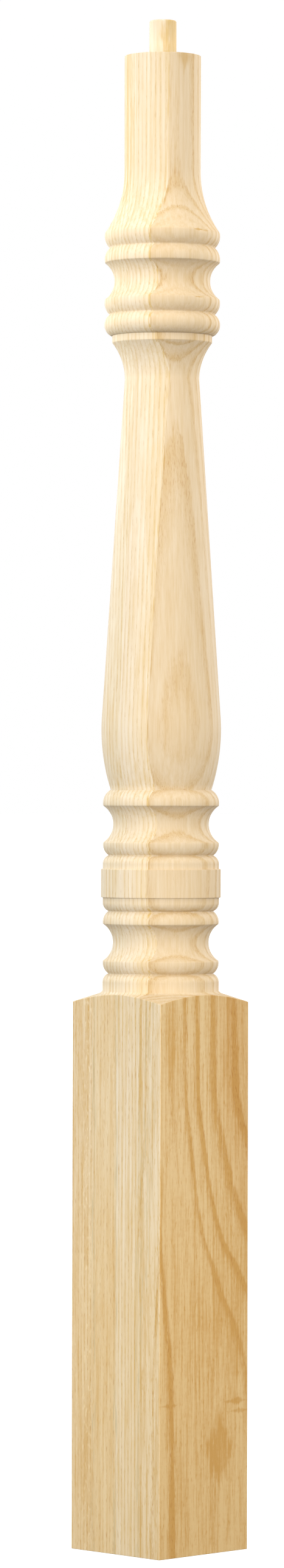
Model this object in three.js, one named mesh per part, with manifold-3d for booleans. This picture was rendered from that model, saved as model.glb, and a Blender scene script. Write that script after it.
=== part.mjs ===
// Pin-top newel post: a square foot block, turned mouldings, a tapered body and a round pin on top.
// Millimetres, +Z up, origin at the centre of the foot. The block's faces are square to X and Y.
// The post is one piece of wood: a square blank whose upper part has been turned round.
import * as THREE from 'three';
import { mergeVertices } from 'three/addons/utils/BufferGeometryUtils.js';
import Module from 'manifold-3d';

// Square blank
const BLOCK_SIDE = 88.9;
const CORNER_HEIGHT = 389.6;
const CUTTER_CLEARANCE = 4;

// Pin on top, and the shaft below it
const PIN_RADIUS = 9.65;
const PIN_LENGTH = 25.4;
const PIN_EASING = 0.8;
const SHAFT_RADIUS = 27.2;
const SHAFT_LENGTH = 83;
const RIM_EASING = 0.4;

// Radii that the mouldings share
const BEAD_RADIUS = 41.25;
const HIGH_BEAD_RADIUS = 40.9;
const GROOVE_RADIUS = 37.4;
const COVE_RADIUS = 34.1;
const BAND_RADIUS = 42.7;
const COLLAR_RADIUS = 41.5;
const FILLET_RADIUS = 35.6;

// Sloping shoulder that the turning leaves on the block
const SHOULDER_SLOPE = 0.32;
const SHOULDER_ROOT = 1.6;

// Heights and bends of the mouldings
const COLLAR_HEIGHT = 6.1;
const ROUND_HEIGHT = 6.1;
const ROUND_BEND = 6.6;
const BEAD_HEIGHT = 9.15;
const BEAD_BEND = 9.6;
const COVE_HEIGHT = 26.2;
const BAND_HEIGHT = 20.3;
const BAND_LIP = 3.6;
const HIGH_BEAD_HEIGHT = 10.7;
const HIGH_BEAD_BEND = 11.2;
const TORUS_HEIGHT = 15.1;
const TORUS_BEND = 8.8;
const TORUS_FOOT_RADIUS = 36.5;
const FILLET_HEIGHT = 4.9;

// Tapered body: a swelling belly, a straight taper and a hollow neck
const BODY_FOOT_RADIUS = 35.9;
const OVOLO_HEIGHT = 11.3;
const OVOLO_BEND = 11;
const BELLY_HEIGHT = 52.4;
const BELLY_TOP_RADIUS = 42.3;
const BELLY_BEND = 140;
const TAPER_LENGTH = 240.3;
const NECK_RADIUS = 26.5;
const NECK_HEIGHT = 25.8;
const NECK_BEND = 43;

// Flare from the top bead up to the shaft
const FLARE_HEIGHT = 43;
const FLARE_BEND = 75;

// Fineness of the facets
const ROUND_SIDES = 48;
const CHORD_ERROR = 0.14;
const WOOD = { color: 0xecd5a8, roughness: 0.62, metalness: 0 };

// The outline of the turning is walked upwards from the foot, as radius and height.
const outline = [new THREE.Vector2(0, 0)];

function lineTo(radius, height) {
  outline.push(new THREE.Vector2(radius, height));
}

function rise(height) {
  const last = outline.at(-1);
  lineTo(last.x, last.y + height);
}

function stepTo(radius) {
  lineTo(radius, outline.at(-1).y);
}

// Circular arc up from the outline's end. A positive bend swells outwards, a negative one is a hollow.
function arcUp(radius, height, bend) {
  const start = outline.at(-1);
  const end = new THREE.Vector2(radius, start.y + height);
  const chord = end.clone().sub(start);
  const halfChord = chord.length() / 2;
  const side = Math.sign(bend);
  const bendRadius = Math.abs(bend);
  const toCentre = new THREE.Vector2(-chord.y, chord.x).setLength(side);
  const centreDistance = Math.sqrt(bendRadius ** 2 - halfChord ** 2);
  const centre = start.clone().addScaledVector(chord, 0.5).addScaledVector(toCentre, centreDistance);
  const sweep = 2 * Math.asin(halfChord / bendRadius);
  const widestStep = 2 * Math.acos(1 - CHORD_ERROR / bendRadius);
  const steps = Math.ceil(sweep / widestStep);
  for (let step = 1; step < steps; step += 1) {
    outline.push(start.clone().rotateAround(centre, (side * sweep * step) / steps));
  }
  outline.push(end);
}

// Hollow between two arrises of the same radius, as deep as the coves' own radius
function cove() {
  const depth = outline.at(-1).x - COVE_RADIUS;
  const bend = ((COVE_HEIGHT / 2) ** 2 + depth ** 2) / (2 * depth);
  arcUp(outline.at(-1).x, COVE_HEIGHT, -bend);
}

function blockAndShoulder() {
  const cornerRadius = BLOCK_SIDE * Math.SQRT1_2;
  const clearRadius = cornerRadius + CUTTER_CLEARANCE;
  const rootRadius = COLLAR_RADIUS + SHOULDER_ROOT;
  const rootHeight = CORNER_HEIGHT + (cornerRadius - rootRadius) * SHOULDER_SLOPE;
  lineTo(clearRadius, 0);
  lineTo(clearRadius, CORNER_HEIGHT - CUTTER_CLEARANCE * SHOULDER_SLOPE);
  lineTo(rootRadius, rootHeight);
  lineTo(COLLAR_RADIUS, rootHeight + SHOULDER_ROOT);
}

function lowerMouldings() {
  rise(COLLAR_HEIGHT);
  arcUp(GROOVE_RADIUS, ROUND_HEIGHT, ROUND_BEND);
  arcUp(BEAD_RADIUS, BEAD_HEIGHT, BEAD_BEND);
  cove();
  arcUp(GROOVE_RADIUS, BEAD_HEIGHT, BEAD_BEND);
  arcUp(COLLAR_RADIUS, ROUND_HEIGHT, ROUND_BEND);
  rise(BAND_LIP);
  stepTo(BAND_RADIUS);
  rise(BAND_HEIGHT);
  stepTo(COLLAR_RADIUS);
  rise(BAND_LIP);
  arcUp(GROOVE_RADIUS, ROUND_HEIGHT, ROUND_BEND);
  arcUp(BEAD_RADIUS, BEAD_HEIGHT, BEAD_BEND);
  cove();
  arcUp(BODY_FOOT_RADIUS, OVOLO_HEIGHT, OVOLO_BEND);
}

function taperedBody() {
  arcUp(BELLY_TOP_RADIUS, BELLY_HEIGHT, BELLY_BEND);
  lineTo(NECK_RADIUS, outline.at(-1).y + TAPER_LENGTH);
  arcUp(FILLET_RADIUS, NECK_HEIGHT, -NECK_BEND);
}

function upperMouldings() {
  rise(FILLET_HEIGHT);
  stepTo(TORUS_FOOT_RADIUS);
  arcUp(GROOVE_RADIUS, TORUS_HEIGHT, TORUS_BEND);
  arcUp(HIGH_BEAD_RADIUS, HIGH_BEAD_HEIGHT, HIGH_BEAD_BEND);
  cove();
  arcUp(GROOVE_RADIUS, HIGH_BEAD_HEIGHT, HIGH_BEAD_BEND);
  arcUp(HIGH_BEAD_RADIUS, HIGH_BEAD_HEIGHT, HIGH_BEAD_BEND);
}

function shaftAndPin() {
  arcUp(SHAFT_RADIUS, FLARE_HEIGHT, -FLARE_BEND);
  rise(SHAFT_LENGTH - RIM_EASING);
  lineTo(SHAFT_RADIUS - RIM_EASING, outline.at(-1).y + RIM_EASING);
  stepTo(PIN_RADIUS);
  rise(PIN_LENGTH - PIN_EASING);
  lineTo(PIN_RADIUS - PIN_EASING, outline.at(-1).y + PIN_EASING);
  stepTo(0);
}

const wasm = await Module();
wasm.setup();

// Closed solid from a geometry, with shared corners merged and triangles of no area dropped
function solidOf(geometry) {
  geometry.deleteAttribute('normal');
  geometry.deleteAttribute('uv');
  const merged = mergeVertices(geometry);
  const corners = merged.index.array;
  const triangles = [];
  for (let first = 0; first < corners.length; first += 3) {
    const [a, b, c] = corners.slice(first, first + 3);
    if (a !== b && b !== c && c !== a) {
      triangles.push(a, b, c);
    }
  }
  const vertProperties = new Float32Array(merged.attributes.position.array);
  const triVerts = new Uint32Array(triangles);
  return new wasm.Manifold(new wasm.Mesh({ numProp: 3, vertProperties, triVerts }));
}

function geometryOf(solid) {
  const { vertProperties, triVerts } = solid.getMesh();
  const geometry = new THREE.BufferGeometry();
  geometry.setAttribute('position', new THREE.BufferAttribute(vertProperties, 3));
  geometry.setIndex(new THREE.BufferAttribute(triVerts, 1));
  geometry.computeVertexNormals();
  return geometry;
}

// The turning is round and upright; the blank trims its oversized foot to the square block.
function newelPost() {
  blockAndShoulder();
  lowerMouldings();
  taperedBody();
  upperMouldings();
  shaftAndPin();
  const turning = new THREE.LatheGeometry(outline, ROUND_SIDES).rotateX(Math.PI / 2);
  const height = outline.at(-1).y;
  const blank = new THREE.BoxGeometry(BLOCK_SIDE, BLOCK_SIDE, height).translate(0, 0, height / 2);
  const post = new THREE.Mesh(
    geometryOf(solidOf(blank).intersect(solidOf(turning))),
    new THREE.MeshStandardMaterial(WOOD),
  );
  post.name = 'newel_post';
  return post;
}

const newel = new THREE.Group();
newel.add(newelPost());

export default newel;
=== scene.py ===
# Newel post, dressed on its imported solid: one finely turned mesh in wood glued up from four boards.
import cmath
import math

import bpy
import numpy as np
from mathutils import Matrix, Vector


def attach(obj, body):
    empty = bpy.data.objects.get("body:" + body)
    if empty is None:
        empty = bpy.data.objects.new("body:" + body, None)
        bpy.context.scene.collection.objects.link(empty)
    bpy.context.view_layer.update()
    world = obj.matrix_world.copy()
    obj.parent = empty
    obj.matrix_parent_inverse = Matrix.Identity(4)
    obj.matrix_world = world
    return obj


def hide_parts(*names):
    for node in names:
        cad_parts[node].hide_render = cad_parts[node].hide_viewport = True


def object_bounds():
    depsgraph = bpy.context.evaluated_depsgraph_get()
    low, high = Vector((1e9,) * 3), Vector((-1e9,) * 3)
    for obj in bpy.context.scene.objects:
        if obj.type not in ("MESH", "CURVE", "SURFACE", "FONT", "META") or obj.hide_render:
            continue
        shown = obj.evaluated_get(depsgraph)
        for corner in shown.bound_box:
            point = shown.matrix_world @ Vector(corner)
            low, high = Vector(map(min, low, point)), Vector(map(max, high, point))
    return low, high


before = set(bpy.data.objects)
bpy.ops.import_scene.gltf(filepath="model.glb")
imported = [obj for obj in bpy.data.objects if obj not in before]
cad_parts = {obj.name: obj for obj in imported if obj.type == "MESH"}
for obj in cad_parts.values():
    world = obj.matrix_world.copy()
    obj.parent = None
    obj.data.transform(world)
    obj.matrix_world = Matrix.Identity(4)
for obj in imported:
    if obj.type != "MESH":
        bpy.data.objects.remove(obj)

cad_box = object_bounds()
MM = 0.001

# Square blank and shoulder, in millimetres as all sizes of the wood are
BLOCK_SIDE = (cad_box[1].x - cad_box[0].x) / MM
CORNER_HEIGHT = 389.6
SHOULDER_SLOPE = 0.32
SHOULDER_ROOT = 1.6

# Pin on top, and the shaft below it
PIN_RADIUS = 9.65
PIN_LENGTH = 25.4
PIN_EASING = 0.8
SHAFT_RADIUS = 27.2
SHAFT_LENGTH = 83

# Radii that the mouldings share
BEAD_RADIUS = 41.25
HIGH_BEAD_RADIUS = 40.9
GROOVE_RADIUS = 37.4
COVE_RADIUS = 34.1
BAND_RADIUS = 42.7
COLLAR_RADIUS = 41.5
FILLET_RADIUS = 35.6

# Heights and bends of the mouldings
COLLAR_HEIGHT = 6.1
ROUND_HEIGHT = 6.1
ROUND_BEND = 6.6
BEAD_HEIGHT = 9.15
BEAD_BEND = 9.6
COVE_HEIGHT = 26.2
BAND_HEIGHT = 20.3
BAND_LIP = 3.6
HIGH_BEAD_HEIGHT = 10.7
HIGH_BEAD_BEND = 11.2
TORUS_HEIGHT = 15.1
TORUS_BEND = 8.8
TORUS_FOOT_RADIUS = 36.5
FILLET_HEIGHT = 4.9

# Tapered body and flare
BODY_FOOT_RADIUS = 35.9
OVOLO_HEIGHT = 11.3
OVOLO_BEND = 11
BELLY_HEIGHT = 52.4
BELLY_TOP_RADIUS = 42.3
BELLY_BEND = 140
TAPER_LENGTH = 240.3
NECK_RADIUS = 26.5
NECK_HEIGHT = 25.8
NECK_BEND = 43
FLARE_HEIGHT = 43
FLARE_BEND = 75

# Fineness of the mesh, and how far sanding has eased its edges
CHORD_ERROR = 0.015
LONGEST_ROW = 16
COLUMNS_PER_FACE = 48
EDGE_EASING = 0.45
CORNER_EASING = 0.8
EASING_STEPS = 4
SHARP_TURN = math.radians(15)

# Boards of the blank, from the -X face to the +X face: how their rings lie and how strongly they show.
# Turns are in degrees. Planed values hold on the flat faces of the block, the others on the turning.
BOARD_COUNT = 4
BOARD_THICKNESS = BLOCK_SIDE / BOARD_COUNT
BOARD_SEED_STEP = 7.3
RING_SEEDS = (3, 211, 431, 653)
RING_TURNS = (15, 40, 22, -26.6)
RING_SPACINGS = (3.2, 3.0, 3.35, 6.0)
RING_BOWS = (150, 150, 200, 280)
RING_WANDERS = (0.25, 0.3, 0.2, 0.6)
RING_RAGS = (0.8, 0.8, 0.8, 1.8)
RING_CONTRASTS = (0.27, 0.27, 0.29, 0.42)
PLANED_CONTRASTS = (0.26, 0.12, 0.42, 0.5)
STREAK_CONTRASTS = (1.0, 0.9, 0.8, 0.75)
PLANED_STREAKS = (1.3, 1.1, 1.2, 1.9)
DASH_CONTRASTS = (0.3, 0.32, 0.2, 0.5)
FLECK_CONTRASTS = (0.5, 0.15, 0.0, 0.0)
PALE_WOODS = ((0.70, 0.62, 0.48), (0.70, 0.62, 0.475), (0.695, 0.60, 0.46), (0.605, 0.48, 0.318))
PORE_WOODS = ((0.55, 0.37, 0.13), (0.555, 0.375, 0.14), (0.56, 0.38, 0.14), (0.485, 0.31, 0.115))
PLANED_SIDES = ((0.92, 0.84, 0.71), (0.92, 0.84, 0.70), (0.95, 0.95, 0.93), (1.06, 1.12, 1.19))

# Colours that the whole blank shares, and how deep the planed skin of the block counts
PORE_COLOUR = (0.40, 0.215, 0.07)
FLECK_COLOUR = (0.76, 0.655, 0.45)
# tint of the painted shade that darkens and warms the wood towards the foot
FOOT_SHADE_TINT = (1.0, 0.95, 0.84)
GREY_WOOD = (0.44, 0.36, 0.205)
PLANED_FRONT = (0.925, 0.835, 0.632)
PLANED_BACK = (0.96, 0.81, 0.59)
DEEP_FRONT = (0.94, 0.87, 0.76)
PLANED_DEPTH = 0.4

# Depths in the tree at which the outer board's rings start, how strong each ring is, and how porous
# the wood is across a ring
RING_EDGES = (16, 22.5, 28.9, 35.5, 42.3, 47.4, 53.0, 61.5, 69.0)
RING_STRENGTHS = (0.6, 0.8, 1.0, 0.9, 0.9, 0.75, 0.5, 1.0)
EARLYWOOD = ((0, 0), (0.07, 0.4), (0.18, 1), (0.3, 0.8), (0.48, 0.25), (0.66, 0.05), (1, 0))

# How the outer board's rings bend with height: towards one depth down the block, and up the turning
# one ring comes nearer to the axis while the others close up to it
LEVEL_DEPTH = 70
LEVELLING = ((0, 0.52), (70, 0.51), (132, 0.49), (195, 0.356), (230, 0.23), (284, 0.1), (350, 0), (400, 0))
LEADING_RING = RING_EDGES[3]
LEADING_DEPTHS = ((350, 35.5), (432, 35.7), (515, 34), (646, 32), (793, 29.1), (970, 26.9), (1090, 27.3))
CLOSING_UP = ((350, 1), (646, 1.05), (793, 1.2), (950, 1.42), (1090, 1.42))

# Sizes of the wood's random patches along X, Y and Z
LONG_WANDER = (45, 45, 260)
SHORT_WANDER = (9, 9, 70)
RAGGED_RINGS = (1.2, 1.2, 11)
RING_PATCHES = (25, 25, 120)
GREY_THREADS = (0.8, 0.8, 24)
RAGGED_MARKS = (3, 3, 14)
LONG_STREAKS = (2.2, 2.2, 80)
SHORT_STREAKS = (0.8, 0.8, 14)
BROAD_CLOUDS = (30, 30, 160)
SMALL_CLOUDS = (6, 6, 45)
CURLS = (5, 5, 2.4)
DASHES = (0.8, 0.8, 5)
WAVES = (6, 6, 40)
FLECKS = (2.0, 3.0, 4.5)
VESSELS = (0.5, 0.5, 5)

# How much the patches weigh, how much more rings show on the +X and -X faces, and the base darkness
LONG_WANDER_WEIGHT = 4
RING_SPREAD = 0.45
RING_PATCH_WEIGHT = 1.1
SHORT_STREAK_WEIGHT = 0.6
BROAD_CLOUD_WEIGHT = 0.5
SMALL_CLOUD_WEIGHT = 0.6
CURL_WEIGHT = 0.4
FRONT_CONTRAST = 0.5
BASE_DARKNESS = 0.21

# Smooth steps: each pair says where a thing starts to show and where it shows in full.
# Heights at which the look of the outer board's rings changes, and the heights of the painted shade that
# darkens and warms the wood towards the foot
TURNING_START = (394, 398)
LOW_BODY = (850, 760)
BELLY_START = (550, 590)
BELLY_END = (740, 690)
BODY_START = (530, 560)
NECK_END = (860, 830)
LOW_TAPER = (770, 700)
LOW_BLOCK = (310, 260)
PIN_START = (1064, 1066)
FOOT_SHADE_HEIGHTS = (350, 140)

# Depths in the outer board of the rings that hardly show, and how quiet they are there
DEEP_RINGS = (45.5, 46.5)
LOW_RINGS = (40.5, 41.5)
INNER_RINGS = (35.5, 33)
PLAIN_RING = RING_EDGES[6]
PLAIN_RING_END = (60, 59)
QUIETNESS = 0.75
BELLY_SHOWING = 0.35
INNER_QUIETNESS = 0.4
TAPER_QUIETNESS = 0.3

# Grey wood: depths of the heart, distances from a joint and from the blank's middle, and its threads
HEART_START = (44.5, 48)
HEART_END = (58, 55)
GREY_JOINT = (3.2, 1.0)
GREY_INSIDE = (36, 33)
THREAD_EDGE = (0, 0.16)
THREAD_GREY = 0.6
GROUND_GREY = 0.04

# Dark wood beside the foremost joint, the vein past it on the block, and the broken seam on the turning
JOINT_TONE = (9, BOARD_THICKNESS)
JOINT_DARKNESS = 0.16
WAVINESS = 2
VEIN_PLACE = 25.6
VEIN_EDGE = (1.3, 0.2)
VEIN_DARKNESS = 0.5
SEAM_EDGE = (1.5, 0.2)
SEAM_BREAKS = (-0.1, 0.3)
SEAM_DARKNESS = 0.55

# Short dashes, pale ray flecks in a row on the first board, vessels, and the front's deep tone
DASH_EDGE = (0.06, 0.24)
FLECK_EDGE = (0.02, 0.26)
FLECK_PLACE = -28.5
FLECK_ROW = (6, 2)
FLECK_ROW_SHARE = 0.7
VESSEL_EDGE = (0.05, 0.14)
VESSEL_DARKNESS = 0.35
PLANED_VESSELS = 0.25
OUTER_VESSELS = 0.2
DEEP_TONE = (40, 31)

# Surface of the bare wood
ROUGHNESS = 0.58
POROUS_ROUGHNESS = 0.12
VESSEL_ROUGHNESS = 0.1
GLOSS = 0.2
VESSEL_BUMP = 0.5
VESSEL_DEPTH = 0.05

# Raggedness of the dark marks, and how their edges fade
MARK_RAGGEDNESS = 1.6
MARK_EDGE = (1.15, 0.35)

# Dark marks: place, half size along X, Y and Z, and strength. The first five lie on the
# block's +X face, then come the shaft's top and its left side, the pin's root and right side, and
# two torn arrises. The marks at the pin's root, the pin's right side and the torn arrises are partly
# painted shade.
MARKS_AND_PAINTED_SHADE = (
    ((44.4, 15.5, 73), (8, 17, 34), 0.75),
    ((44.4, 33, 106.5), (8, 14, 3.0), 0.7),
    ((44.4, 36, 99.5), (8, 12, 2.4), 0.6),
    ((44.4, -36, 107.5), (8, 12, 1.8), 0.5),
    ((44.4, 30, 165), (8, 45, 80), 0.35),
    ((26.6, -5.7, 1061), (7, 7, 13), 0.6),
    ((-9, -26, 1020), (10, 20, 140), 0.3),
    # pin's root: painted shadow where the pin meets the shaft's top, over a stain
    ((8, -4, 1064), (8, 8, 2.5), 0.6),
    # pin's right half: its board's darker tone plus painted shade on the side that gets less light
    ((9, 3, 1078), (14, 16, 60), 0.6),
    # torn arrises: painted shadow under the lifted splinters, with the torn wood's own darker tone
    ((40.7, -4.3, 937.2), (6, 5, 1.2), 1.2),
    ((40.8, 2.0, 936.8), (6, 6, 1.0), 0.5),
    ((40.7, -3.0, 889.4), (6, 5, 0.9), 0.7),
)

# Splinters torn out of two arrises: bearing and half width in degrees, height, half height and depth
TEARS = ((-1, 10.5, 937.2, 1.3, 0.55), (-3, 7, 889.5, 1.1, 0.35))


# Turned outline, walked upwards: each point is radius + height * 1j
class Outline:
    def __init__(self, *points):
        self.points = list(points)

    def line_to(self, radius, height):
        self.points.append(complex(radius, height))

    def rise(self, height):
        self.points.append(self.points[-1] + 1j * height)

    def step_to(self, radius):
        self.points.append(complex(radius, self.points[-1].imag))

    def arc_up(self, radius, height, bend):
        """Circular arc up from the outline's end; a positive bend swells, a negative one is a hollow."""
        start = self.points[-1]
        end = complex(radius, start.imag + height)
        half_chord = abs(end - start) / 2
        side = math.copysign(1, bend)
        bend = abs(bend)
        inward = 1j * (end - start) / abs(end - start)
        centre = (start + end) / 2 + side * inward * math.sqrt(bend**2 - half_chord**2)
        sweep = 2 * math.asin(half_chord / bend)
        steps = math.ceil(sweep / (2 * math.acos(1 - CHORD_ERROR / bend)))
        for step in range(1, steps + 1):
            turn = cmath.exp(1j * side * sweep * step / steps)
            self.points.append(centre + (start - centre) * turn)

    def cove(self):
        """Hollow between two arrises of the same radius."""
        radius = self.points[-1].real
        depth = radius - COVE_RADIUS
        bend = ((COVE_HEIGHT / 2) ** 2 + depth**2) / (2 * depth)
        self.arc_up(radius, COVE_HEIGHT, -bend)


def block_and_shoulder(reach):
    """Foot, block face, scalloped edge and shoulder; reach is the block's radius in each column."""
    corner_radius = BLOCK_SIDE * math.sqrt(0.5)
    root_radius = COLLAR_RADIUS + SHOULDER_ROOT
    root_height = CORNER_HEIGHT + (corner_radius - root_radius) * SHOULDER_SLOPE
    scallop = CORNER_HEIGHT + (corner_radius - reach) * SHOULDER_SLOPE
    outline = Outline(0j, reach + 0j, reach + 1j * scallop)
    outline.line_to(root_radius, root_height)
    outline.line_to(COLLAR_RADIUS, root_height + SHOULDER_ROOT)
    return outline


def lower_mouldings(outline):
    outline.rise(COLLAR_HEIGHT)
    outline.arc_up(GROOVE_RADIUS, ROUND_HEIGHT, ROUND_BEND)
    outline.arc_up(BEAD_RADIUS, BEAD_HEIGHT, BEAD_BEND)
    outline.cove()
    outline.arc_up(GROOVE_RADIUS, BEAD_HEIGHT, BEAD_BEND)
    outline.arc_up(COLLAR_RADIUS, ROUND_HEIGHT, ROUND_BEND)
    outline.rise(BAND_LIP)
    outline.step_to(BAND_RADIUS)
    outline.rise(BAND_HEIGHT)
    outline.step_to(COLLAR_RADIUS)
    outline.rise(BAND_LIP)
    outline.arc_up(GROOVE_RADIUS, ROUND_HEIGHT, ROUND_BEND)
    outline.arc_up(BEAD_RADIUS, BEAD_HEIGHT, BEAD_BEND)
    outline.cove()
    outline.arc_up(BODY_FOOT_RADIUS, OVOLO_HEIGHT, OVOLO_BEND)


def tapered_body(outline):
    outline.arc_up(BELLY_TOP_RADIUS, BELLY_HEIGHT, BELLY_BEND)
    outline.line_to(NECK_RADIUS, outline.points[-1].imag + TAPER_LENGTH)
    outline.arc_up(FILLET_RADIUS, NECK_HEIGHT, -NECK_BEND)


def upper_mouldings(outline):
    outline.rise(FILLET_HEIGHT)
    outline.step_to(TORUS_FOOT_RADIUS)
    outline.arc_up(GROOVE_RADIUS, TORUS_HEIGHT, TORUS_BEND)
    outline.arc_up(HIGH_BEAD_RADIUS, HIGH_BEAD_HEIGHT, HIGH_BEAD_BEND)
    outline.cove()
    outline.arc_up(GROOVE_RADIUS, HIGH_BEAD_HEIGHT, HIGH_BEAD_BEND)
    outline.arc_up(HIGH_BEAD_RADIUS, HIGH_BEAD_HEIGHT, HIGH_BEAD_BEND)


def shaft_and_pin(outline):
    outline.arc_up(SHAFT_RADIUS, FLARE_HEIGHT, -FLARE_BEND)
    outline.rise(SHAFT_LENGTH)
    outline.step_to(PIN_RADIUS)
    outline.rise(PIN_LENGTH - PIN_EASING)
    outline.line_to(PIN_RADIUS - PIN_EASING, outline.points[-1].imag + PIN_EASING)
    outline.step_to(0)


def eased(points):
    """The outline with its outward edges rounded, as sanding leaves them."""
    rounded = points[:1]
    for before, corner, after in zip(points, points[1:], points[2:]):
        turn = np.max(np.angle((after - corner) / (corner - before)))
        if turn < SHARP_TURN:
            rounded.append(corner)
            continue
        start = corner + EDGE_EASING * (before - corner) / abs(before - corner)
        end = corner + EDGE_EASING * (after - corner) / abs(after - corner)
        for share in np.linspace(0, 1, EASING_STEPS):
            bend = 2 * share * (1 - share)
            rounded.append(start * (1 - share) ** 2 + corner * bend + end * share**2)
    return rounded + points[-1:]


def subdivided(points):
    """The outline with long straight runs cut into shorter rows."""
    rows = points[:1]
    for start, end in zip(points, points[1:]):
        pieces = math.ceil(np.max(abs(end - start)) / LONGEST_ROW)
        for piece in range(1, pieces + 1):
            rows.append(start + (end - start) * piece / pieces)
    return rows


def column_angles():
    """Angles of the mesh columns: even round each face, and closer at the block's eased corners."""
    half_face = math.pi / 4
    corner_span = CORNER_EASING / (BLOCK_SIDE / 2) / 2
    even = np.linspace(-half_face, half_face, COLUMNS_PER_FACE + 1)[:-1]
    close = half_face - corner_span * np.array([0.5, 1.0])
    face = np.sort(np.concatenate([even, close, -close]))
    return np.concatenate([face + quarter * math.pi / 2 for quarter in range(4)])


def block_reach(angles):
    """Distance from the axis to the square block, with its upright corners rounded."""
    half_side = BLOCK_SIDE / 2
    slant = abs((angles + math.pi / 4) % (math.pi / 2) - math.pi / 4)
    flat = half_side / np.cos(slant)
    inner = half_side - CORNER_EASING
    along = inner * (np.cos(slant) + np.sin(slant))
    rounding = along**2 - 2 * inner**2 + CORNER_EASING**2
    corner = along + np.sqrt(np.maximum(rounding, 0))
    on_corner = flat * np.sin(slant) > inner
    return np.where(on_corner, corner, flat)


def torn(rings, angles):
    """The rings with shallow splinters torn out."""
    for bearing, half_width, height, half_height, depth in TEARS:
        across = (np.degrees(angles) - bearing) / half_width
        up = (rings.imag - height) / half_height
        rings = rings - depth * np.clip(1 - across**2 - up**2, 0, 1)
    return rings


def turned_mesh(rows, angles):
    """Closed mesh through the rows; the first and last row are single points on the axis."""
    columns = len(angles)
    rings = torn(np.array([row + np.zeros(columns) for row in rows[1:-1]]), angles)
    spots = np.stack([rings.real * np.cos(angles), rings.real * np.sin(angles), rings.imag], axis=2)
    foot = [[0, 0, rows[0].imag]]
    tip = [[0, 0, rows[-1].imag]]
    vertices = np.concatenate([foot, spots.reshape(-1, 3), tip]) * MM
    here = np.arange(columns)
    there = (here + 1) % columns
    faces = [(0, 1 + b, 1 + a) for a, b in zip(here, there)]
    for ring in range(len(rings) - 1):
        low = 1 + ring * columns
        high = low + columns
        faces += [(low + a, low + b, high + b, high + a) for a, b in zip(here, there)]
    last = 1 + (len(rings) - 1) * columns
    faces += [(last + a, last + b, len(vertices) - 1) for a, b in zip(here, there)]
    mesh = bpy.data.meshes.new("newel_post_turned")
    mesh.from_pydata(vertices.tolist(), [], [tuple(map(int, face)) for face in faces])
    mesh.shade_smooth()
    return mesh


def turned_post():
    """The visible post: the solid's outline in full fineness, with eased edges."""
    angles = column_angles()
    outline = block_and_shoulder(block_reach(angles))
    lower_mouldings(outline)
    tapered_body(outline)
    upper_mouldings(outline)
    shaft_and_pin(outline)
    mesh = turned_mesh(subdivided(eased(outline.points)), angles)
    post = bpy.data.objects.new("newel_post_turned", mesh)
    bpy.context.scene.collection.objects.link(post)
    normals = post.modifiers.new("weighted_normals", "WEIGHTED_NORMAL")
    normals.weight = 100
    return post


# A number that varies over a surface, worked out by shader nodes
class Field:
    def __init__(self, tree, socket):
        self.tree = tree
        self.socket = socket

    def node(self, kind, **settings):
        made = self.tree.nodes.new(kind)
        for name, value in settings.items():
            setattr(made, name, value)
        return made

    def feed(self, socket, value):
        """Sets a socket to a constant, or links it to a field or to another socket."""
        if isinstance(value, Field):
            self.tree.links.new(value.socket, socket)
        elif isinstance(value, bpy.types.NodeSocket):
            self.tree.links.new(value, socket)
        else:
            socket.default_value = value

    def math(self, operation, *others):
        made = self.node("ShaderNodeMath", operation=operation)
        for socket, value in zip(made.inputs, (self, *others)):
            self.feed(socket, value)
        return Field(self.tree, made.outputs[0])

    def __add__(self, other):
        return self.math("ADD", other)

    def __sub__(self, other):
        return self.math("SUBTRACT", other)

    def __rsub__(self, other):
        return self * -1 + other

    def __mul__(self, other):
        return self.math("MULTIPLY", other)

    def __truediv__(self, other):
        return self.math("DIVIDE", other)

    def size(self):
        return self.math("ABSOLUTE")

    def larger(self, other):
        return self.math("MAXIMUM", other)

    def above(self, limit):
        return self.math("GREATER_THAN", limit)

    def ramp(self, low, high):
        """Smooth step from 0 to 1 while the field goes from low to high."""
        made = self.node("ShaderNodeMapRange", interpolation_type="SMOOTHSTEP")
        for socket, value in zip(made.inputs, (self, low, high)):
            self.feed(socket, value)
        return Field(self.tree, made.outputs["Result"])

    def curve(self, stops):
        """Smooth curve through (field, value) stops."""
        places, values = zip(*stops)
        first, width = places[0], places[-1] - places[0]
        lowest, height = min(values), max(values) - min(values)
        made = self.node("ShaderNodeFloatCurve")
        made.mapping.extend = "HORIZONTAL"
        points = made.mapping.curves[0].points
        while len(points) < len(stops):
            points.new(0.5, 0.5)
        for point, place, value in zip(points, places, values):
            point.location = ((place - first) / width, (value - lowest) / height)
            point.handle_type = "AUTO_CLAMPED"
        made.mapping.update()
        self.feed(made.inputs["Value"], (self - first) / width)
        return Field(self.tree, made.outputs[0]) * height + lowest

    def steps(self, colours):
        """One colour for each equal share of the field's range from 0 to 1."""
        made = self.node("ShaderNodeValToRGB")
        made.color_ramp.interpolation = "CONSTANT"
        stops = made.color_ramp.elements
        while len(stops) < len(colours):
            stops.new(1.0)
        for index, colour in enumerate(colours):
            stops[index].position = index / len(colours)
            stops[index].color = (*colour, 1)
        self.feed(made.inputs[0], self)
        return made.outputs["Color"]

    def mix(self, first, second, blend="MIX"):
        """Colour that goes from first to second as the field goes from 0 to 1."""
        made = self.node("ShaderNodeMix", data_type="RGBA", blend_type=blend)
        self.feed(made.inputs["Factor"], self)
        for socket, colour in zip(made.inputs[6:8], (first, second)):
            self.feed(socket, (*colour, 1) if isinstance(colour, tuple) else colour)
        return made.outputs[2]


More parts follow.
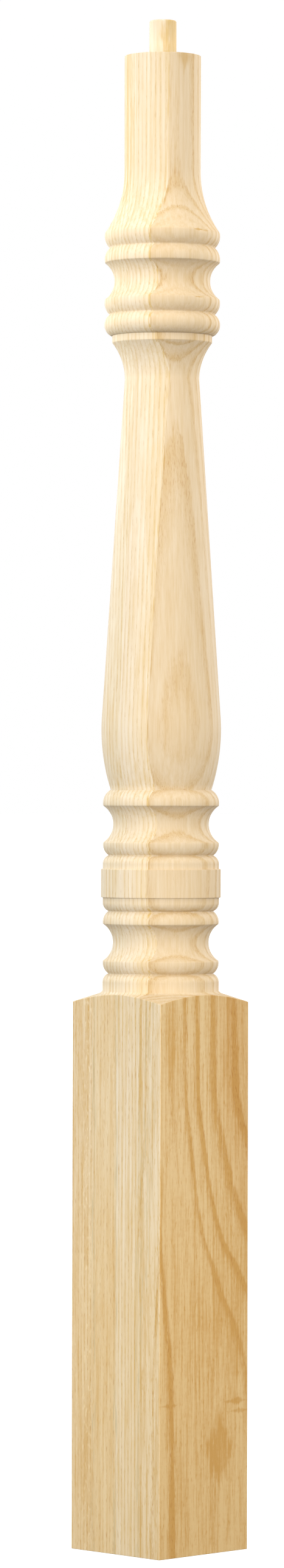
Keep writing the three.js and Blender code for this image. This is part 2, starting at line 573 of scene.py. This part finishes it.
# The wood's own space: where a point lies in the blank, in millimetres, and in which board
class Wood:
    def __init__(self, tree):
        self.tree = tree
        coordinates = tree.nodes.new("ShaderNodeTexCoord")
        self.place = self.scaled(coordinates.outputs["Object"], (1 / MM,) * 3)
        split = tree.nodes.new("ShaderNodeSeparateXYZ")
        tree.links.new(self.place, split.inputs[0])
        self.x, self.y, self.z = (Field(tree, socket) for socket in split.outputs)
        joints = [(joint - BOARD_COUNT / 2) * BOARD_THICKNESS for joint in range(1, BOARD_COUNT)]
        self.past = [self.x.above(joint) for joint in joints]
        self.outer_board = self.past[-1]
        self.board_seed = self.by_board([BOARD_SEED_STEP * board for board in range(BOARD_COUNT)])
        self.share = self.x / BLOCK_SIDE + 0.5
        surface = BLOCK_SIDE / 2
        self.planed_x = self.x.size().ramp(surface - PLANED_DEPTH, surface)
        self.planed_y = self.y.size().ramp(surface - PLANED_DEPTH, surface)
        self.planed = self.planed_x.larger(self.planed_y)

    def scaled(self, vector, factors):
        made = self.tree.nodes.new("ShaderNodeVectorMath")
        made.operation = "MULTIPLY"
        self.tree.links.new(vector, made.inputs[0])
        made.inputs[1].default_value = factors
        return made.outputs[0]

    def by_board(self, values):
        """A value that changes from board to board."""
        field = self.past[0] * (values[1] - values[0]) + values[0]
        for past, value, before in zip(self.past[1:], values[2:], values[1:]):
            field = field + past * (value - before)
        return field

    def noise(self, *sizes, detail=2.0, seed=0.0):
        """Cloudy field from about -0.5 to 0.5, with spots of these sizes along X, Y and Z."""
        made = self.tree.nodes.new("ShaderNodeTexNoise")
        made.noise_dimensions = "4D"
        stretched = self.scaled(self.place, tuple(1 / size for size in sizes))
        self.tree.links.new(stretched, made.inputs["Vector"])
        self.tree.links.new((self.board_seed + seed).socket, made.inputs["W"])
        made.inputs["Scale"].default_value = 1.0
        made.inputs["Detail"].default_value = detail
        return Field(self.tree, made.outputs["Fac"]) - 0.5


def tree_depth(wood):
    """Depth of a point across the growth rings of its board, in millimetres."""
    turns = [math.radians(turn) for turn in RING_TURNS]
    out_x = wood.by_board([math.cos(turn) for turn in turns])
    out_y = wood.by_board([math.sin(turn) for turn in turns])
    along = wood.y * out_x - wood.x * out_y
    bow = along * along * wood.by_board([1 / (2 * radius) for radius in RING_BOWS])
    wander = wood.noise(*LONG_WANDER, detail=1.5, seed=1) * LONG_WANDER_WEIGHT
    wander = wander + wood.noise(*SHORT_WANDER, seed=2)
    rags = wood.noise(*RAGGED_RINGS, seed=10) * wood.by_board(RING_RAGS)
    return wood.x * out_x + wood.y * out_y + bow + wander * wood.by_board(RING_WANDERS) + rags


def outer_depth(wood, depth, levelling):
    """Depth in the outer board, whose rings level out down the block and lean inwards up the turning."""
    leaning = (depth - wood.z.curve(LEADING_DEPTHS)) * wood.z.curve(CLOSING_UP) + LEADING_RING
    return leaning + (LEVEL_DEPTH - leaning) * levelling


def ring_count(wood, depth, outer):
    """Number of rings up to a depth: evenly spaced, but from the outer board's own ring edges there."""
    narrow = depth / wood.by_board(RING_SPACINGS)
    wide = outer.curve([(edge, ring) for ring, edge in enumerate(RING_EDGES)])
    return narrow + (wide - narrow) * wood.outer_board


def quiet_rings(wood, outer):
    """Where rings hardly show: parts of the outer board, mostly its fullest turnings, and the pin."""
    on_belly = wood.z.ramp(*BELLY_START) * wood.z.ramp(*BELLY_END)
    low_rings = outer.ramp(*LOW_RINGS) * wood.z.ramp(*LOW_BODY) * (1 - on_belly * BELLY_SHOWING)
    on_turning = outer.ramp(*DEEP_RINGS).larger(low_rings) * wood.z.ramp(*TURNING_START)
    inner_rings = outer.ramp(*INNER_RINGS) * wood.z.ramp(*NECK_END) * INNER_QUIETNESS
    on_taper = (inner_rings + wood.z.ramp(*LOW_TAPER) * TAPER_QUIETNESS) * wood.z.ramp(*BODY_START)
    on_block = outer.above(PLAIN_RING) * outer.ramp(*PLAIN_RING_END) * wood.z.ramp(*LOW_BLOCK)
    on_board = on_turning.larger(on_taper).larger(on_block) * wood.outer_board
    return on_board.larger(wood.z.ramp(*PIN_START))


def ring_strength(wood, rings):
    """How strongly each ring shows: at random, and as set for the outer board."""
    number = rings.math("FLOOR")
    chance = wood.tree.nodes.new("ShaderNodeTexWhiteNoise")
    chance.noise_dimensions = "1D"
    wood.tree.links.new((number + wood.by_board(RING_SEEDS)).socket, chance.inputs["W"])
    strength = Field(wood.tree, chance.outputs["Value"]) * RING_SPREAD + (1 - RING_SPREAD)
    place = (number + 0.5) / len(RING_STRENGTHS)
    outer_strength = Field(wood.tree, place.steps([(value,) * 3 for value in RING_STRENGTHS]))
    return strength + (outer_strength - strength) * wood.outer_board


def earlywood(wood, rings, levelling, quiet):
    """Porous share of each ring: it starts sharply and fades into the dense wood."""
    profile = (rings.math("FRACT") / (1 - levelling)).curve(EARLYWOOD)
    patches = wood.noise(*RING_PATCHES, seed=3) * RING_PATCH_WEIGHT + 1.0
    return profile * ring_strength(wood, rings) * patches * (1 - quiet * QUIETNESS)


def grey_wood(wood, outer):
    """Greyer wood deep in the outer board, and beside the joints where they show on the block."""
    heart = outer.ramp(*HEART_START) * outer.ramp(*HEART_END) * wood.outer_board
    from_joint = wood.x.math("PINGPONG", BOARD_THICKNESS / 2)
    joints = from_joint.ramp(*GREY_JOINT) * wood.x.size().ramp(*GREY_INSIDE)
    threads = wood.noise(*GREY_THREADS, seed=14).ramp(*THREAD_EDGE) * THREAD_GREY + GROUND_GREY
    return heart.larger(joints) * threads * wood.planed_y


def dark_marks_and_painted_shade(wood):
    """Diamond-shaped dark spots, curls and stains with ragged edges, some of them partly painted shade: at
    the pin's root, on the pin's right side and under the torn splinters.
    """
    ragged = wood.noise(*RAGGED_MARKS, seed=12) * MARK_RAGGEDNESS
    stains_and_shade = []
    for (x, y, z), (half_x, half_y, half_z), strength in MARKS_AND_PAINTED_SHADE:
        across = (wood.x - x).size() / half_x + (wood.y - y).size() / half_y
        reach = across + (wood.z - z).size() / half_z + ragged
        stains_and_shade.append(reach.ramp(*MARK_EDGE) * strength)
    return sum(stains_and_shade[1:], stains_and_shade[0])


def board_contrast(wood, turned, planed, share):
    """A contrast for each board, which goes from its turned to its planed value with the share."""
    change = [after - before for before, after in zip(turned, planed)]
    return wood.by_board(turned) + wood.by_board(change) * share


def joint_lines(wood, streaks):
    """Dark wood along the foremost joint: a tone before it, a vein past it and a broken seam on it."""
    tone = wood.x.ramp(*JOINT_TONE) * (1 - wood.outer_board) * JOINT_DARKNESS
    wavy_x = wood.x + wood.noise(*WAVES, seed=15) * WAVINESS
    vein = (wavy_x - VEIN_PLACE).size().ramp(*VEIN_EDGE) * wood.planed_y * VEIN_DARKNESS
    seam = (wavy_x - BOARD_THICKNESS).size().ramp(*SEAM_EDGE) * streaks.ramp(*SEAM_BREAKS)
    return tone + vein + seam * (1 - wood.planed) * SEAM_DARKNESS


def dark_share(wood, porous):
    """How far the colour goes from the pale wood of a board to its dark wood."""
    streaks = wood.noise(*SHORT_STREAKS, detail=1, seed=6) * SHORT_STREAK_WEIGHT
    streaks = streaks + wood.noise(*LONG_STREAKS, detail=1, seed=9)
    clouds = wood.noise(*SMALL_CLOUDS, seed=13) * wood.planed * SMALL_CLOUD_WEIGHT
    clouds = clouds + wood.noise(*BROAD_CLOUDS, seed=4) * BROAD_CLOUD_WEIGHT
    curls = wood.noise(*CURLS, detail=1, seed=8) * wood.planed_x * CURL_WEIGHT
    dashes = wood.noise(*DASHES, detail=1, seed=11).ramp(*DASH_EDGE) * wood.planed
    ring_contrast = board_contrast(wood, RING_CONTRASTS, PLANED_CONTRASTS, wood.planed_y)
    ring_contrast = ring_contrast + wood.planed_x * FRONT_CONTRAST
    streak_contrast = board_contrast(wood, STREAK_CONTRASTS, PLANED_STREAKS, wood.planed)
    share = porous * ring_contrast + streaks * streak_contrast + clouds + curls
    share = share + dashes * wood.by_board(DASH_CONTRASTS)
    # the dark marks include painted shade and painted shadow as well as stains
    return share + joint_lines(wood, streaks) + dark_marks_and_painted_shade(wood) + BASE_DARKNESS


def ray_flecks(wood):
    """Short pale dashes where the saw has cut along the wood's rays."""
    flecks = wood.noise(*FLECKS, detail=1, seed=7).ramp(*FLECK_EDGE)
    row = (wood.x - FLECK_PLACE).size().ramp(*FLECK_ROW) * FLECK_ROW_SHARE + (1 - FLECK_ROW_SHARE)
    return flecks * row * wood.by_board(FLECK_CONTRASTS)


def wood_colour(wood, outer, porous, pores):
    """Colour of the wood: pale and dark wood, vessels, the tints of the block's faces, and grey wood, with
    painted shade darkening and warming it towards the foot.
    """
    pale = wood.share.steps(PALE_WOODS)
    dark = wood.share.steps(PORE_WOODS)
    colour = dark_share(wood, porous).mix(pale, dark)
    vessel_darkness = wood.planed * PLANED_VESSELS + wood.outer_board * OUTER_VESSELS + VESSEL_DARKNESS
    colour = (pores * vessel_darkness).mix(colour, PORE_COLOUR)
    colour = wood.planed_y.mix(colour, wood.share.steps(PLANED_SIDES), "MULTIPLY")
    planed_tint = wood.outer_board.mix(PLANED_BACK, PLANED_FRONT)
    colour = wood.planed_x.mix(colour, planed_tint, "MULTIPLY")
    deep = wood.planed_x * wood.outer_board * outer.ramp(*DEEP_TONE)
    colour = deep.mix(colour, DEEP_FRONT, "MULTIPLY")
    colour = (ray_flecks(wood) * wood.planed_y).mix(colour, FLECK_COLOUR)
    # painted shade: darker and warmer towards the foot
    colour = wood.z.ramp(*FOOT_SHADE_HEIGHTS).mix(colour, FOOT_SHADE_TINT, "MULTIPLY")
    return grey_wood(wood, outer).mix(colour, GREY_WOOD)


def vessel_bump(tree, vessels):
    """Normal of the surface with the vessels sunk into it."""
    bump = tree.nodes.new("ShaderNodeBump")
    bump.invert = True
    bump.inputs["Strength"].default_value = VESSEL_BUMP
    bump.inputs["Distance"].default_value = VESSEL_DEPTH * MM
    tree.links.new(vessels.socket, bump.inputs["Height"])
    return bump.outputs[0]


def wood_material():
    """Solid wood of the glued blank: its rings run right through, so every cut shows its own grain."""
    material = bpy.data.materials.new("glued_ash")
    material.use_nodes = True
    tree = material.node_tree
    shader = tree.nodes["Principled BSDF"]
    wood = Wood(tree)
    depth = tree_depth(wood)
    levelling = wood.z.curve(LEVELLING) * wood.outer_board
    outer = outer_depth(wood, depth, levelling)
    rings = ring_count(wood, depth, outer)
    porous = earlywood(wood, rings, levelling, quiet_rings(wood, outer))
    vessels = wood.noise(*VESSELS, detail=1, seed=5).ramp(*VESSEL_EDGE)
    pores = vessels * porous
    colour = wood_colour(wood, outer, porous, pores)
    tree.links.new(colour, shader.inputs["Base Color"])
    roughness = porous * POROUS_ROUGHNESS + pores * VESSEL_ROUGHNESS + ROUGHNESS
    tree.links.new(roughness.socket, shader.inputs["Roughness"])
    shader.inputs["Specular IOR Level"].default_value = GLOSS
    tree.links.new(vessel_bump(tree, vessels), shader.inputs["Normal"])
    return material


# Camera of the photograph: distances in metres, and its aim in pixels of the photograph
CAMERA_AZIMUTH = math.radians(45)
CAMERA_DISTANCE = 4.035
CAMERA_HEIGHT = 0.533
CAMERA_LENS = 130
FRAME_LONG_SIDE = 2576
AIM_RIGHT = -31.4
AIM_UP = 27
ROLL = math.radians(0.1415)

# White table, and the surround's brightness below and above the horizon
FLOOR_SIDE = 300
FLOOR_GLOW = 0.95
FLOOR_ROUGHNESS = 0.9
DARK_PAPER = (0.15, 0.15, 0.15)
PALE_PAPER = (0.2, 0.2, 0.2)
WHITE = (1, 1, 1, 1)
SKY_BELOW = 0.21
SKY_ABOVE = 1.5
LOWER_SKY = (-0.4, -0.05)
UPPER_SKY = (0.1, 0.9)

# Lights: bearings from the camera, places in metres, spreads in degrees and powers in watts
KEY_AZIMUTH = math.radians(2)
SIDE_AZIMUTH = math.radians(55)
FAR_AZIMUTH = math.radians(135)
KEY_LIGHT = {"distance": 1.2, "height": 0.5, "aim_height": 0.25, "side": 0.4, "spread": 75}
SIDE_LIGHT = {"distance": 0.9, "height": 1.1, "aim_height": 0.98, "side": 0.3, "spread": 60}
FAR_LIGHT = {"distance": 2.5, "height": 1.0, "aim_height": 0.5, "side": 1.0, "spread": 180}
KEY_POWER = 1.78
LEFT_POWER = 0.70
RIGHT_POWER = 0.45
FAR_POWER = 16


def towards_camera(azimuth=0.0):
    """Level direction from the post to the camera, turned to the camera's right by an angle."""
    turned = CAMERA_AZIMUTH + azimuth
    return Vector((math.sin(turned), -math.cos(turned), 0))


def studio_camera():
    """Level camera that looks at the block's edge, aimed and rolled as in the photograph."""
    data = bpy.data.cameras.new("photo_camera")
    data.lens = CAMERA_LENS
    camera = bpy.data.objects.new("photo_camera", data)
    spot = towards_camera() * CAMERA_DISTANCE + Vector((0, 0, CAMERA_HEIGHT))
    pixels = CAMERA_LENS / data.sensor_width * FRAME_LONG_SIDE
    level = towards_camera().to_track_quat("Z", "Y").to_matrix().to_4x4()
    yaw = Matrix.Rotation(-math.atan(AIM_RIGHT / pixels), 4, "Y")
    pitch = Matrix.Rotation(math.atan(AIM_UP / pixels), 4, "X")
    roll = Matrix.Rotation(ROLL, 4, "Z")
    camera.matrix_world = Matrix.Translation(spot) @ level @ yaw @ pitch @ roll
    bpy.context.scene.collection.objects.link(camera)
    bpy.context.scene.camera = camera


def table_material():
    """Faintly mottled white paper with a glow of its own."""
    material = bpy.data.materials.new("white_table")
    material.use_nodes = True
    tree = material.node_tree
    shader = tree.nodes["Principled BSDF"]
    noise = tree.nodes.new("ShaderNodeTexNoise")
    paper = Field(tree, noise.outputs["Fac"]).mix(DARK_PAPER, PALE_PAPER)
    tree.links.new(paper, shader.inputs["Base Color"])
    shader.inputs["Roughness"].default_value = FLOOR_ROUGHNESS
    shader.inputs["Emission Color"].default_value = WHITE
    shader.inputs["Emission Strength"].default_value = FLOOR_GLOW
    return material


def studio_floor():
    """White light table: its own glow keeps it as pale as the surround."""
    half = FLOOR_SIDE / 2
    corners = [(-half, -half, 0), (half, -half, 0), (half, half, 0), (-half, half, 0)]
    mesh = bpy.data.meshes.new("studio_floor")
    mesh.from_pydata(corners, [], [(0, 1, 2, 3)])
    mesh.materials.append(table_material())
    floor = bpy.data.objects.new("studio_floor", mesh)
    bpy.context.scene.collection.objects.link(floor)
    floor.visible_diffuse = False


def white_surround():
    """White all round for the picture, dimmer below and brighter above, so that mouldings show."""
    world = bpy.data.worlds.new("white_surround")
    world.use_nodes = True
    tree = world.node_tree
    coordinates = tree.nodes.new("ShaderNodeTexCoord")
    split = tree.nodes.new("ShaderNodeSeparateXYZ")
    tree.links.new(coordinates.outputs["Generated"], split.inputs[0])
    height = Field(tree, split.outputs["Z"])
    strength = height.ramp(*LOWER_SKY) * (1 - SKY_BELOW) + SKY_BELOW
    strength = strength + height.ramp(*UPPER_SKY) * (SKY_ABOVE - 1)
    background = tree.nodes["Background"]
    background.inputs["Color"].default_value = WHITE
    tree.links.new(strength.socket, background.inputs["Strength"])
    bpy.context.scene.world = world


def soft_light(name, azimuth, power, distance, height, aim_height, side, spread):
    """Square area light at an azimuth from the camera, aimed at a height on the post's axis."""
    data = bpy.data.lights.new(name, "AREA")
    data.size = side
    data.spread = math.radians(spread)
    data.energy = power
    light = bpy.data.objects.new(name, data)
    light.location = towards_camera(azimuth) * distance + Vector((0, 0, height))
    aim = Vector((0, 0, aim_height))
    light.rotation_mode = "QUATERNION"
    light.rotation_quaternion = (aim - light.location).to_track_quat("-Z", "Y")
    bpy.context.scene.collection.objects.link(light)


def studio_light():
    """White surround, a frontal key light, two side lights near the top and two lights behind."""
    white_surround()
    soft_light("key_light", KEY_AZIMUTH, KEY_POWER, **KEY_LIGHT)
    soft_light("left_light", -SIDE_AZIMUTH, LEFT_POWER, **SIDE_LIGHT)
    soft_light("right_light", SIDE_AZIMUTH, RIGHT_POWER, **SIDE_LIGHT)
    soft_light("far_left_light", -FAR_AZIMUTH, FAR_POWER, **FAR_LIGHT)
    soft_light("far_right_light", FAR_AZIMUTH, FAR_POWER, **FAR_LIGHT)
    bpy.context.scene.view_settings.view_transform = "Standard"


post = turned_post()
post.data.materials.append(wood_material())
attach(post, "root")
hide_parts("newel_post")
studio_floor()
studio_light()
studio_camera()
